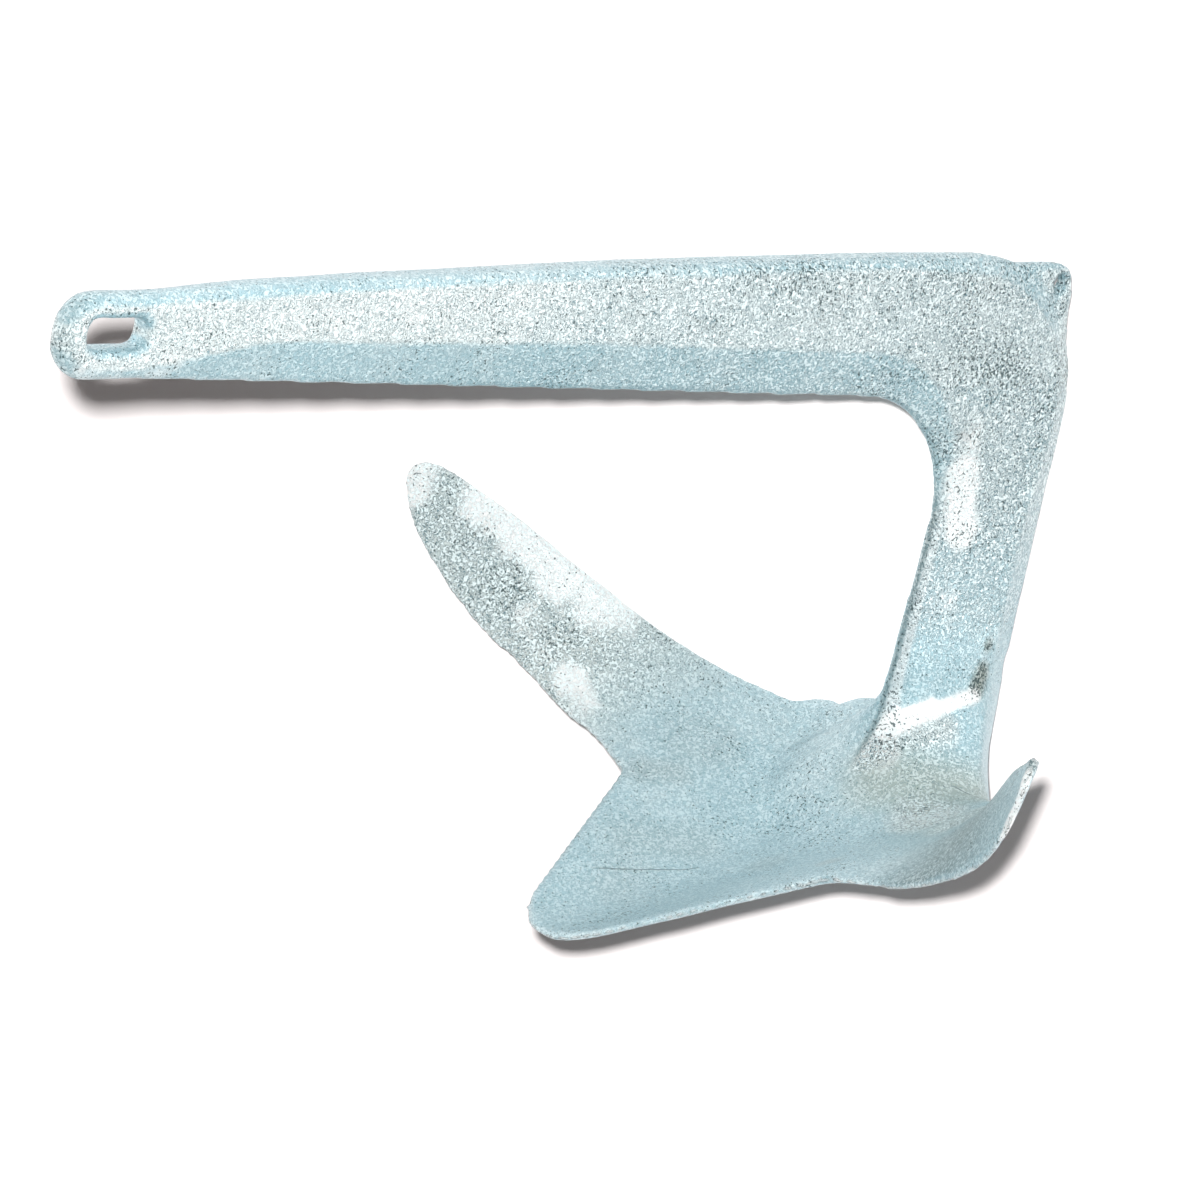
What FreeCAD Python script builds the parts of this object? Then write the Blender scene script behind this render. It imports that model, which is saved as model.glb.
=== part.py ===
import FreeCAD, Part
import Sketcher
import math
import os
import re

Vector = FreeCAD.Vector

doc = FreeCAD.newDocument("ClawAnchor")

# Driving dimensions in millimetres and degrees, read with the shank level and the arm hanging
# from it: X runs from the claw's heel toward the shackle eye, Y across and Z up
SIZES = (
    ("overall_reach", 573.5, "heel to the nose of the eye"),
    ("shank_top", 243.4, "top of the shank at the elbow"),
    ("shank_top_mid", 240.3, "top of the shank halfway along"),
    ("shank_top_fore", 234, "top of the shank where the belly line starts"),
    ("shank_top_eye", 230.3, "top of the shank at the eye"),
    ("shank_tall", 63.4, "depth of the shank at the elbow"),
    ("eye_tall", 34.3, "depth of the eye"),
    ("shank_mid", 307, "where halfway along is"),
    ("eye_long", 38.5, "length of the eye up to the shank"),
    ("eye_thick", 12.6, "thickness of the eye"),
    ("eye_corner", 15.5, "corner radius of the nose"),
    ("eye_bevel", 3.4, "bevel round the eye"),
    ("slot_inset", 25.8, "middle of the shackle slot behind the nose"),
    ("slot_drop", 15.6, "middle of the shackle slot below the top of the eye"),
    ("slot_long", 29.2, "length of the shackle slot"),
    ("slot_tall", 11.6, "height of the shackle slot"),
    ("slot_corner", 4.4, "corner radius of the slot"),
    ("shank_thick", 16.4, "thickness of the shank under its crown"),
    ("crown_width", 8, "flat along the top of the shank"),
    ("crown_bevel", 2.6, "height of the bevel beside that flat"),
    ("belly_thick", 18, "thickness at the belly line of the shank"),
    ("belly_height", 22, "belly line above the underside"),
    ("belly_runout", 57, "length that the belly line takes to fade out before the eye"),
    ("under_edge", 5, "flat along the underside"),
    ("arm_back", 3.3, "back ridge of the arm"),
    ("arm_front", 72.3, "front edge of the arm at the elbow"),
    ("arm_front_low", 77.5, "front edge of the arm at its foot"),
    ("arm_edge", 3, "flat along the front edge of the arm"),
    ("arm_land", 8, "thickness just behind that edge"),
    ("arm_land_depth", 1.6, "depth of the bevel at that edge"),
    ("arm_thick", 18, "greatest thickness of the arm"),
    ("arm_wedge", 19, "depth of the wedge down the back of the arm"),
    ("arm_ridge", 3, "flat along the back ridge"),
    ("elbow_inner", 62, "inside radius of the elbow"),
    ("elbow_outer", 78, "outside radius of the thick part of the elbow"),
    ("lug_thick", 8, "thickness of the corner lug"),
    ("lug_top", 239.2, "top of the corner lug"),
    ("lug_back", 20.5, "back of the corner lug at its top"),
    ("lug_corner", 10, "corner radius of the lug"),
    ("lug_slant", 9.6, "slant of the back of the lug"),
    ("lug_foot", 185, "where the lug runs out on the back of the arm"),
    ("lug_root", 150, "lower end of the lug inside the arm"),
    ("trip_hole", 7.8, "bore for the trip line"),
    ("trip_inset", 6.8, "trip line bore ahead of the back of the lug"),
    ("trip_drop", 8.7, "trip line bore below the top of the lug"),
    ("foot_radius", 41, "sweep of the arm's foot into the claw"),
    ("foot_top", 42, "where that sweep starts on the front edge"),
    ("foot_flare", 84, "width that the foot gains over that sweep"),
    ("palm_span", 193, "half the spread of the side palms"),
    ("heel_height", -1.5, "height of the claw's upper face at the heel"),
    ("heel_inset", 6.3, "claw's rear edge ahead of the heel on the middle line"),
    ("palm_sweep", 45, "rear edge of the side palms from straight across"),
    ("rear_bow", 4.5, "bow of that rear edge, back near the arm and forward near the tips"),
    ("tip_curl", 5, "how far the tips curl forward of that sweep"),
    ("curl_power", 20, "how late that curl comes"),
    ("palm_rise", 95.8, "rise of the rear edge out to the tips"),
    ("floor_pitch", 11.6, "pitch of the claw's floor on the middle line"),
    ("palm_twist", 68.8, "extra pitch gained out to the tips"),
    ("root_thick", 13, "thickness of the claw at the arm"),
    ("tip_thick", 4.6, "thickness at the tips of the side palms"),
    ("lip_thick", 2.7, "thickness along the front of the palms"),
    ("middle_reach", 260, "heel to the tip of the middle palm"),
    ("middle_flare", 27, "half the angle between the middle palm's edges"),
    ("notch_reach", 163.5, "heel to the notches"),
    ("notch_half", 65.5, "half the width between the notches"),
    ("lip_chord", 51.7, "chord out to the front edge halfway along a side palm"),
)

sheet = doc.addObject("Spreadsheet::Sheet", "Sizes")
for row, (alias, number, note) in enumerate(SIZES, start=1):
    sheet.set("A%d" % row, note)
    sheet.set("B%d" % row, str(number))
    sheet.setAlias("B%d" % row, alias)
doc.recompute()

ALIASES = {alias for alias, number, note in SIZES}


# Turns "arm_front + elbow_inner" into an expression on the sheet
def sized(text):
    return re.sub(r"[a-z_]+", lambda word: ("Sizes." if word[0] in ALIASES else "") + word[0], text)


def value(text):
    result = sheet.evalExpression(sized(text))
    return float(getattr(result, "Value", result))


def bind(thing, path, text):
    thing.setExpression(path, sized(text))


# A closed sketch of straight edges through given corners, any of them rounded
def outline_sketch(name, corners):
    sketch = doc.addObject("Sketcher::SketchObject", name)
    points = [Vector(value(across), value(up), 0) for across, up, radius in corners]
    radii = [value(radius) if radius else 0 for across, up, radius in corners]
    arrivals, departures, crests = [], [], []
    for index, point in enumerate(points):
        before = (points[index - 1] - point).normalize()
        after = (points[(index + 1) % len(points)] - point).normalize()
        half = before.getAngle(after) / 2
        arrivals.append(point + before * (radii[index] / math.tan(half)))
        departures.append(point + after * (radii[index] / math.tan(half)))
        crests.append(point + (before + after).normalize() * radii[index] * (1 / math.sin(half) - 1))
    edges = [sketch.addGeometry(Part.LineSegment(start, arrivals[(index + 1) % len(points)]))
             for index, start in enumerate(departures)]
    for index, (across, up, radius) in enumerate(corners):
        if radius:
            arc = sketch.addGeometry(Part.Arc(arrivals[index], crests[index], departures[index]))
            held = sketch.addGeometry(Part.Point(points[index]), True)
            centre = sketch.Geometry[arc].Center
            leftward = (arrivals[index] - centre).cross(departures[index] - centre).z > 0
            first, last = (1, 2) if leftward else (2, 1)
            sketch.addConstraint(Sketcher.Constraint("Tangent", edges[index - 1], 2, arc, first))
            sketch.addConstraint(Sketcher.Constraint("Tangent", edges[index], 1, arc, last))
            sketch.addConstraint(Sketcher.Constraint("PointOnObject", held, 1, edges[index - 1]))
            sketch.addConstraint(Sketcher.Constraint("PointOnObject", held, 1, edges[index]))
            spot = sketch.addConstraint(Sketcher.Constraint("Radius", arc, radii[index]))
            bind(sketch, "Constraints[%d]" % spot, radius)
        else:
            held = edges[index]
            sketch.addConstraint(Sketcher.Constraint("Coincident", edges[index - 1], 2, held, 1))
        for kind, text, number in (("DistanceX", across, points[index].x),
                                   ("DistanceY", up, points[index].y)):
            spot = sketch.addConstraint(Sketcher.Constraint(kind, -1, 1, held, 1, number))
            bind(sketch, "Constraints[%d]" % spot, text)
    return sketch


# Stands a sketch upright along the shank, drawn as the anchor is seen from its right side
def in_side_view(sketch, offset="0"):
    sketch.Placement = FreeCAD.Placement(Vector(), FreeCAD.Rotation(Vector(1, 0, 0), 90))
    bind(sketch, "Placement.Base.y", offset)
    return sketch


def extruded(name, sketch, direction, thickness):
    solid = doc.addObject("Part::Extrusion", name)
    solid.Base = sketch
    solid.DirMode = "Custom"
    solid.Dir = direction
    solid.Solid = True
    solid.Symmetric = True
    bind(solid, "LengthFwd", thickness)
    return solid


# One section across the shank or the arm: rows run from the inner edge to the outer one,
# each a distance and a width, in a plane that leans back by the given angle from upright
def section(name, base_x, base_z, lean, rows):
    right = [("(%s) / 2" % width, distance, None) for distance, width in rows]
    left = [("-(%s) / 2" % width, distance, None) for distance, width in reversed(rows)]
    sketch = outline_sketch(name, right + left)
    outward = Vector(-math.sin(math.radians(lean)), 0, math.cos(math.radians(lean)))
    across = Vector(0, 1, 0)
    sketch.Placement = FreeCAD.Placement(Vector(), FreeCAD.Rotation(across, outward, across.cross(outward), "XYZ"))
    bind(sketch, "Placement.Base.x", base_x)
    bind(sketch, "Placement.Base.z", base_z)
    return sketch


def lofted(name, sections, ruled):
    loft = doc.addObject("Part::Loft", name)
    loft.Sections = sections
    loft.Solid = True
    loft.Ruled = ruled
    return loft


def blend(start, end, share):
    return "((%s) * %.4f + (%s) * %.4f)" % (start, 1 - share, end, share)


# Shank: a tapered blade with a narrow crown and a belly line that fades out at the eye
ELBOW_X = "(arm_front + elbow_inner)"
SHANK_UNDER = "(shank_top - shank_tall)"
ELBOW_Z = "(%s - elbow_inner)" % SHANK_UNDER
EYE_ROOT = "(overall_reach - eye_long)"
EYE_UNDER = "(shank_top_eye - eye_tall)"
UNDER = "(%s + (%s - %s) * (%%s - %s) / (%s - %s))" % (
    SHANK_UNDER, EYE_UNDER, SHANK_UNDER, ELBOW_X, EYE_ROOT, ELBOW_X)


def shank_section(name, along, top, share):
    under = UNDER % along
    tall = "(%s - %s)" % (top, under)
    return section(name, along, under, 0, [
        ("0", blend("under_edge", "eye_thick - 2 * eye_bevel", share)),
        (blend("belly_height", "eye_bevel", share), blend("belly_thick", "eye_thick", share)),
        (tall + " - " + blend("crown_bevel", "eye_bevel", share), blend("shank_thick", "eye_thick", share)),
        (tall, blend("crown_width", "eye_thick - 2 * eye_bevel", share)),
    ])


eye_section = shank_section("eye_section", EYE_ROOT, "shank_top_eye", 1)
belly_section = shank_section("belly_section", "(%s - belly_runout)" % EYE_ROOT, "shank_top_fore", 0.2)
middle_section = shank_section("middle_section", "shank_mid", "shank_top_mid", 0)
elbow_section = shank_section("elbow_section", ELBOW_X, "shank_top", 0)
shank = lofted("shank", [eye_section, belly_section, middle_section, elbow_section], True)


# Eye: a flat nose with rounded corners and a bevel all round, holding the shackle slot
def eye_outline(name, inset, offset):
    return in_side_view(outline_sketch(name, [
        (EYE_ROOT, EYE_UNDER + " + " + inset, None),
        ("overall_reach - " + inset, EYE_UNDER + " + " + inset, "eye_corner - " + inset),
        ("overall_reach - " + inset, "shank_top_eye - " + inset, "eye_corner - " + inset),
        (EYE_ROOT, "shank_top_eye - " + inset, None),
    ]), offset)


eye_blank = lofted("eye_blank", [
    eye_outline("eye_left_face", "eye_bevel", "eye_thick / 2"),
    eye_outline("eye_left_edge", "0", "eye_thick / 2 - eye_bevel"),
    eye_outline("eye_right_edge", "0", "eye_bevel - eye_thick / 2"),
    eye_outline("eye_right_face", "eye_bevel", "-eye_thick / 2"),
], True)
slot_outline = in_side_view(outline_sketch("slot_outline", [
    ("overall_reach - slot_inset %s slot_long / 2" % fore,
     "shank_top_eye - slot_drop %s slot_tall / 2" % upper, "slot_corner")
    for fore, upper in (("-", "-"), ("+", "-"), ("+", "+"), ("-", "+"))
]))
slot = extruded("shackle_slot", slot_outline, Vector(0, 1, 0), "2 * eye_thick")

# Elbow: the section turns a right angle about the inside corner, from the shank's to the arm's,
# and its outer line is a quarter circle between the top of the shank and the back of the arm
ARC_X = "(%s - arm_back - elbow_outer)" % ELBOW_X
ARC_Z = "(shank_top - elbow_outer - %s)" % ELBOW_Z
TOP_TURN = math.degrees(math.atan2(value(ARC_X), value("shank_top - " + ELBOW_Z)))
BACK_TURN = math.degrees(math.atan2(value(ELBOW_X + " - arm_back"), value(ARC_Z)))


def elbow_reach(turn):
    along = "(%s * sin(%d) + %s * cos(%d))" % (ARC_X, turn, ARC_Z, turn)
    if turn < TOP_TURN:
        return "((shank_top - %s) / cos(%d))" % (ELBOW_Z, turn)
    if turn > BACK_TURN:
        return "((%s - arm_back) / sin(%d))" % (ELBOW_X, turn)
    return "(%s + sqrt(%s ^ 2 - %s ^ 2 - %s ^ 2 + elbow_outer ^ 2))" % (along, along, ARC_X, ARC_Z)


def bend_section(turn):
    share = turn / 90
    tall = "(%s - elbow_inner)" % elbow_reach(turn)
    return section("bend_section_%d" % turn,
                   "%s - elbow_inner * sin(%d)" % (ELBOW_X, turn),
                   "%s + elbow_inner * cos(%d)" % (ELBOW_Z, turn), turn, [
        ("0", blend("under_edge", "arm_edge", share)),
        (blend("belly_height", "arm_land_depth", share), blend("belly_thick", "arm_land", share)),
        (tall + " - " + blend("crown_bevel", "arm_wedge", share), blend("shank_thick", "arm_thick", share)),
        (tall, blend("crown_width", "arm_ridge", share)),
    ])


bends = [bend_section(turn) for turn in (5, 10, 15, 20, 30, 40, 50, 60, 70, 80, 90)]
elbow = lofted("elbow", [elbow_section] + bends, False)

# Corner lug: a thin plate that squares off the elbow and takes the trip line
lug_outline = in_side_view(outline_sketch("lug_outline", [
    ("arm_front / 2", "lug_root", None),
    (ELBOW_X, "lug_root + elbow_inner", None),
    (ELBOW_X, "lug_top", None),
    ("lug_back", "lug_top", "lug_corner"),
    ("lug_back - (lug_top - lug_foot) * tan(lug_slant)", "lug_foot", None),
    ("arm_back + arm_wedge", "lug_root", None),
]))
lug = extruded("corner_lug", lug_outline, Vector(0, 1, 0), "lug_thick")
trip_bore = doc.addObject("Part::Cylinder", "trip_bore")
bind(trip_bore, "Radius", "trip_hole / 2")
bind(trip_bore, "Height", "3 * lug_thick")
trip_bore.Placement.Rotation = FreeCAD.Rotation(Vector(1, 0, 0), 90)
bind(trip_bore, "Placement.Base.x", "lug_back + trip_inset")
bind(trip_bore, "Placement.Base.y", "1.5 * lug_thick")
bind(trip_bore, "Placement.Base.z", "lug_top - trip_drop")


# Arm: thin at the front, widest near the back and wedge-backed; its foot sweeps out on an arc
# into the claw, in sections that lie parallel to the claw's floor, and ends in a straight toe.
# The foot's sides flare out faster than its front, on a power of how far it has fallen
SWEEP_END = 0.8
TOE_SLOPE = SWEEP_END / math.sqrt(1 - SWEEP_END ** 2)
FLARE_POWER = 1.35


def foot_section(name, fall):
    bent = min(fall, SWEEP_END)
    spread = "(foot_radius * %.4f)" % (1 - math.sqrt(1 - bent ** 2) + (fall - bent) * TOE_SLOPE)
    flare = "(foot_flare * %.4f)" % fall ** FLARE_POWER
    front = "(arm_front_low + %s)" % spread
    drop = "(foot_radius * %.4f + %s * tan(floor_pitch))" % (fall, spread)
    tall = "((%s - arm_back - %s / 20) / cos(floor_pitch))" % (front, flare)
    return section(name, front, "foot_top - " + drop, 90 - value("floor_pitch"), [
        ("0", "arm_edge + %s / 2" % flare),
        ("arm_land_depth + %s / 2" % spread, "arm_land + 0.9 * " + flare),
        (tall + " - arm_wedge - 0.4 * " + flare, "arm_thick + " + flare),
        (tall, "arm_ridge + 0.1 * " + flare),
    ])


foot_sections = [foot_section("foot_section_%d" % step, fall)
                 for step, fall in enumerate((0, 0.2, 0.4, 0.6, SWEEP_END, 1.1, 1.5, 1.8))]
arm = lofted("arm", [bends[-1], foot_sections[0]], True)
foot_sweep = lofted("foot_sweep", foot_sections, False)


# Claw: one dished plate, ruled from its rear edge by chords that steepen toward the side tips.
# Each rib gives its share of the span, of the rise and of the twist, and where along the chord
# the palm starts and ends, as shares of the lip chord. The last rib is the plate's alone
RIBS = (
    (0, 0, 0, -0.2, 3.1),
    (0.197, 0.078, 0.015, -0.2, 2.45),
    (0.345, 0.180, 0.064, -0.2, 1.9),
    (0.443, 0.259, 0.170, -0.2, 1.48),
    (0.541, 0.371, 0.314, -0.2, 1.23),
    (0.640, 0.524, 0.529, -0.2, 1.06),
    (0.719, 0.645, 0.680, -0.2, 1),
    (0.797, 0.762, 0.812, -0.2, 0.97),
    (0.866, 0.849, 0.900, -0.12, 0.885),
    (0.925, 0.920, 0.951, -0.05, 0.755),
    (0.955, 0.955, 0.971, -0.01, 0.655),
    (0.975, 0.976, 0.984, 0.03, 0.545),
    (0.992, 0.993, 0.995, 0.1, 0.377),
    (1, 1, 1, 0.17, 0.29),
    (1.03, 1.03, 1.01, 0.17, 0.29),
)


def chord_pitch(rib):
    return math.radians(value("floor_pitch") + value("palm_twist") * rib[2])


def chord_direction(rib):
    return Vector(math.cos(chord_pitch(rib)), 0, -math.sin(chord_pitch(rib)))


# A point on the claw's upper face, so far along a rib's chord from the rear edge
def face_point(rib, chord):
    share, rise = rib[:2]
    swept = value("palm_span") * share * math.tan(math.radians(value("palm_sweep")))
    bowed = value("rear_bow") * math.sin(2 * math.pi * share)
    curled = value("tip_curl") * share ** value("curl_power")
    rear = Vector(value("heel_inset") + swept - bowed + curled, value("palm_span") * share,
                  value("heel_height") + value("palm_rise") * rise)
    return rear + chord_direction(rib) * chord


# Square to the claw's upper face at a rib's rear end
def face_normal(rib):
    place = RIBS.index(rib)
    if place == 0:
        return chord_direction(rib).cross(Vector(0, 1, 0))
    outward = face_point(RIBS[min(place + 1, len(RIBS) - 1)], 0) - face_point(RIBS[place - 1], 0)
    return chord_direction(rib).cross(outward).normalize()


def thickness_at_rear(rib):
    return value("root_thick") + (value("tip_thick") - value("root_thick")) * rib[0]


# A solid through one closed section for each rib, from the right palm's tip to the left one's
def through_ribs(name, ribs, corners_of):
    left = [corners_of(rib) for rib in ribs]
    right = [[Vector(corner.x, -corner.y, corner.z) for corner in corners] for corners in left[:0:-1]]
    solid = doc.addObject("Part::Feature", name)
    solid.Shape = Part.makeLoft([Part.makePolygon(corners + corners[:1]) for corners in right + left], True, False)
    return solid


# The plate's section, square to the face at its rear end. In front it runs a little past the claw,
# and beside the middle palm it draws back to the side palms as the share of the span grows
PLATE_SPARE = 1.1
PLATE_DRAWS_IN = 1.6


def plate_section(rib):
    start = face_point(rib, 0)
    reach = max(value("middle_reach") * (1 - PLATE_DRAWS_IN * rib[0]), value("lip_chord") * rib[4])
    end = face_point(rib, PLATE_SPARE * reach)
    normal = face_normal(rib)
    return [start - normal * thickness_at_rear(rib), end - normal * value("lip_thick"), end, start]


# The room that the palms keep of the plate, square to the face along their front edges
def palm_section(rib):
    start = face_point(rib, rib[3] * value("lip_chord"))
    end = face_point(rib, rib[4] * value("lip_chord"))
    above = face_normal(rib) * (value("root_thick") / 2)
    below = face_normal(rib) * (value("root_thick") * 1.5)
    return [start - below, end - below, end + above, start + above]


# The space over the middle of the claw, from halfway down its thickness, that the foot may fill
def foot_section_room(rib):
    start = face_point(rib, 0) - face_normal(rib) * (thickness_at_rear(rib) / 2)
    end = start + chord_direction(rib) * value("notch_reach")
    height = Vector(0, 0, value("shank_top"))
    return [start, end, end + height, start + height]


dished_plate = through_ribs("dished_plate", RIBS, plate_section)
side_palms = through_ribs("side_palms", RIBS[:-1], palm_section)
foot_room = through_ribs("foot_room", [rib for rib in RIBS if rib[0] < 0.5], foot_section_room)
foot = doc.addObject("Part::Common", "foot")
foot.Base = foot_sweep
foot.Tool = foot_room

# Middle palm in plan: straight edges that close on a round nose
APEX = "(notch_reach + notch_half / tan(middle_flare))"
plan_outline = outline_sketch("plan_outline", [
    ("-arm_front", "-notch_half", None),
    ("notch_reach", "-notch_half", None),
    (APEX, "0", "(%s - middle_reach) / (1 / sin(middle_flare) - 1)" % APEX),
    ("notch_reach", "notch_half", None),
    ("-arm_front", "notch_half", None),
])
plan_prism = extruded("plan_prism", plan_outline, Vector(0, 0, 1), "4 * palm_span")

claw_outline = doc.addObject("Part::MultiFuse", "claw_outline")
claw_outline.Shapes = [side_palms, plan_prism]
claw = doc.addObject("Part::Common", "claw")
claw.Base = dished_plate
claw.Tool = claw_outline

# The casting: all of it is one piece, with the slot and the trip line bore cut through
blank = doc.addObject("Part::MultiFuse", "blank")
blank.Shapes = [shank, eye_blank, elbow, lug, arm, foot, claw]
holes = doc.addObject("Part::MultiFuse", "holes")
holes.Shapes = [slot, trip_bore]
anchor = doc.addObject("Part::Cut", "anchor")
anchor.Label = "anchor"
anchor.Base = blank
anchor.Tool = holes
doc.recompute()

failed = [thing.Name for thing in doc.Objects if "Invalid" in thing.State or "Error" in thing.State]
if failed:
    raise RuntimeError("objects did not build: %s" % ", ".join(failed))

# At rest the anchor lies on the back of its arm, its heel and its right palm. It is set down on the
# floor from near that pose: each turn goes about what already touches, toward the centre of mass,
# until the next point touches, and the last three points stand round the centre of mass
FINENESS = 0.05
DROPPED_UP = Vector(0.69, 0.72, -0.05)
points = anchor.Shape.tessellate(FINENESS)[0]
centre = anchor.Shape.Solids[0].CenterOfMass


def level(direction, up):
    return (direction - up * direction.dot(up)).normalize()


# Turns the floor about a pivot toward one side until it meets the next point
def turn_to_next(up, side, touching):
    pivot = touching[0]
    reached = [(math.atan2(max((point - pivot).dot(up), 0), (point - pivot).dot(side)), index)
               for index, point in enumerate(points)
               if (point - pivot).dot(side) > 1 and all((point - held).Length > 1 for held in touching)]
    angle, index = min(reached)
    return (up * math.cos(angle) - side * math.sin(angle)).normalize(), points[index]


def side_of_edge(first, second, up, target):
    side = level((second - first).cross(up), up)
    return side if (target - first).dot(side) > 0 else -side


def settled(up):
    up = Vector(up).normalize()
    first = min(points, key=lambda point: point.dot(up))
    up, second = turn_to_next(up, level(centre - first, up), [first])
    up, third = turn_to_next(up, side_of_edge(first, second, up, centre), [first, second])
    for turn in range(20):
        corners = (first, second, third)
        for index, opposite in enumerate(corners):
            start, end = corners[index - 2], corners[index - 1]
            outside = -side_of_edge(start, end, up, opposite)
            if (centre - start).dot(outside) > 0:
                up, third = turn_to_next(up, outside, [start, end])
                first, second = start, end
                break
        else:
            return up
    raise RuntimeError("the anchor does not come to rest")


upward = settled(DROPPED_UP)
arm_line = level(Vector(0, 0, 1), upward)
lying = FreeCAD.Rotation(arm_line.cross(upward), arm_line, upward, "XYZ").inverted()
laid = [lying.multVec(point) for point in points]
low = Vector(min(p.x for p in laid), min(p.y for p in laid), min(p.z for p in laid))
top = Vector(max(p.x for p in laid), max(p.y for p in laid), max(p.z for p in laid))
anchor.Placement = FreeCAD.Placement(Vector(-(low.x + top.x) / 2, -(low.y + top.y) / 2, -low.z), lying)

shape = anchor.Shape
if shape.isNull() or not shape.isValid():
    raise RuntimeError("the anchor is not a valid shape")
print("anchor", "solids", len(shape.Solids), "volume %.0f" % shape.Volume, "size", top - low)
print("placement", anchor.Placement)

os.makedirs("parts", exist_ok=True)
shape.exportStep("parts/anchor.step")
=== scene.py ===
"""A galvanised claw anchor lying on a pale floor, dressed over its CAD frame."""
import math

import bmesh
import bpy
import numpy as np
from mathutils import Euler, Matrix, Vector, noise
from mathutils.bvhtree import BVHTree


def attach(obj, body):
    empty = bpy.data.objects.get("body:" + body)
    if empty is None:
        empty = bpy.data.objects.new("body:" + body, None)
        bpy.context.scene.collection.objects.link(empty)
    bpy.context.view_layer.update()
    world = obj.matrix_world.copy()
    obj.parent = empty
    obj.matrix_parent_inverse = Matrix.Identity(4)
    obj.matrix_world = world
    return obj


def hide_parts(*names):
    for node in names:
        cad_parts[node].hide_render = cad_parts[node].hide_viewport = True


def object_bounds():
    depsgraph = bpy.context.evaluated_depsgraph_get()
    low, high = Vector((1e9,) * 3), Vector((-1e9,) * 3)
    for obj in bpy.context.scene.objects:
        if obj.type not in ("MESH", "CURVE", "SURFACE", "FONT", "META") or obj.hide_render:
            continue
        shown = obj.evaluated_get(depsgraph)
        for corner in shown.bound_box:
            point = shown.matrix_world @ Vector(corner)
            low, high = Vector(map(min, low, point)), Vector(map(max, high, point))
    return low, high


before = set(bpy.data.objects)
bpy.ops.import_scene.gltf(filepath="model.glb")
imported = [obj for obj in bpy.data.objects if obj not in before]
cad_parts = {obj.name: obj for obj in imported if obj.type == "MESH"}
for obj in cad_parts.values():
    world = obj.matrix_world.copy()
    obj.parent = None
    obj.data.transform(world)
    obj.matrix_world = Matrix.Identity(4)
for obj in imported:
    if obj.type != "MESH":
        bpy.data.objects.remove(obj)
CAD_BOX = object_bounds()

# Where the casting lies. Its own frame has X from the heel to the eye, Y across to the left
# and Z up the arm.
LIES_AT = Vector((0.20454, -0.0991224, 0.00559042))
LIES_YAW, LIES_PITCH, LIES_ROLL = 177.848, -44.1315, 93.0888
LIES_TURNED = (
    Matrix.Rotation(math.radians(LIES_YAW), 3, "Z")
    @ Matrix.Rotation(math.radians(LIES_PITCH), 3, "Y")
    @ Matrix.Rotation(math.radians(LIES_ROLL), 3, "X")
)
LIES_UP_THE_ARM = np.array(LIES_TURNED @ Vector((0, 0, 1)))

# Camera
CAMERA_AT = Vector((-0.03185, 0.68744, 2.29316))
CAMERA_TURNED = [math.radians(angle) for angle in (-17.8638, 2.7751, 11.1085)]
CAMERA_LENS = 160.55
CAMERA_SENSOR = 36
CAMERA_SHIFT = (0.0317, -0.0033)
CAMERA_SEES_TO = 50

# Lamps: the key's place beside the camera, its size and its level. A soft box: its name, its
# azimuth and elevation in degrees, its distance, width, height and radiance. The sky lights
# things only faintly.
LAMPS_AIM_AT = Vector((0, 0, 0.12))
KEY_BESIDE_CAMERA = (-0.036, 0.070, 0)
KEY_SIZE = 0.050
KEY_LEVEL = 0.98
SOFT_BOXES = (
    ("fill_30", 30, 35, 2.2, 1.6, 1.6, 0.42),
    ("fill_150", 150, 35, 2.2, 1.6, 1.6, 0.42),
    ("fill_270", 270, 35, 2.2, 1.6, 1.6, 0.42),
    ("tall_box_behind_the_arm", 53, 58, 1.6, 0.45, 0.7, 2.1),
    ("low_box_behind_the_palm", 80, 22, 1.6, 0.3, 0.3, 4.0),
    ("low_box_behind_the_foot", 40, 7, 1.6, 0.5, 0.28, 4.0),
    ("side_box_by_the_arm", -13, 7, 1.6, 0.6, 0.3, 4.0),
)
SKY_LIGHT = 0.07

# Floor: white paper as it is and as the camera sees it, the warm lift in its shadows, and how
# far out from its middle it turns plain white
FLOOR_HALF_SIZE = 6.0
PAPER = (0.9, 0.9, 0.9, 1)
PAPER_SEEN = (1.30, 1.23, 1.22, 1)
SHADOW_LIFT = 0.04
SHADOW_TINT = (1.0, 0.72, 0.66, 1)
WHITE = (1, 1, 1, 1)
PLAIN_WHITE_BETWEEN = (0.22, 0.8)

# Zinc colours, linear
BLUE_ZINC = (0.390, 0.585, 0.645, 1)
# pale zinc for the clouds, and painted sheen where the zinc is marked silver
PALE_ZINC_AND_SHEEN = (0.765, 0.840, 0.835, 1)
# bright zinc, also the painted glare of the frost marks
BRIGHT_ZINC_AND_GLARE = (0.930, 0.950, 0.940, 1)
# painted glints on the crests of the zinc's worms
CREST_GLINT_ZINC = (0.830, 0.950, 0.965, 1)
# painted shade in the furrows of the zinc's worms
FURROW_SHADE_BLUE = (0.095, 0.225, 0.275, 1)
# painted shade on the near palm's faces that turn away from the light
PALM_SHADE_ZINC = (0.190, 0.275, 0.285, 1)
GREY_PATINA = (0.390, 0.455, 0.415, 1)
SMUDGE_GREY = (0.330, 0.420, 0.430, 1)
GATE_SCAR = (0.330, 0.350, 0.270, 1)
# dark of the pits, hairlines and the arm's front edge; in the pits partly painted shade
DARK_PIT = (0.075, 0.125, 0.130, 1)

# What tints the zinc, in this order: the mark, its share and its colour
TINTS = (
    ("patina", 0.8, GREY_PATINA),
    ("smudge", 0.6, SMUDGE_GREY),
    ("lip", 0.65, BRIGHT_ZINC_AND_GLARE),
    # edge wear and painted highlight on convex edges
    ("rim_wear_and_highlight", 0.8, BRIGHT_ZINC_AND_GLARE),
    ("land", 0.6, BRIGHT_ZINC_AND_GLARE),
    # painted shade on the near palm
    ("near_palm_shade", 0.95, PALM_SHADE_ZINC),
    ("gate", 0.75, GATE_SCAR),
    ("valley", 0.6, BLUE_ZINC),
)
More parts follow.
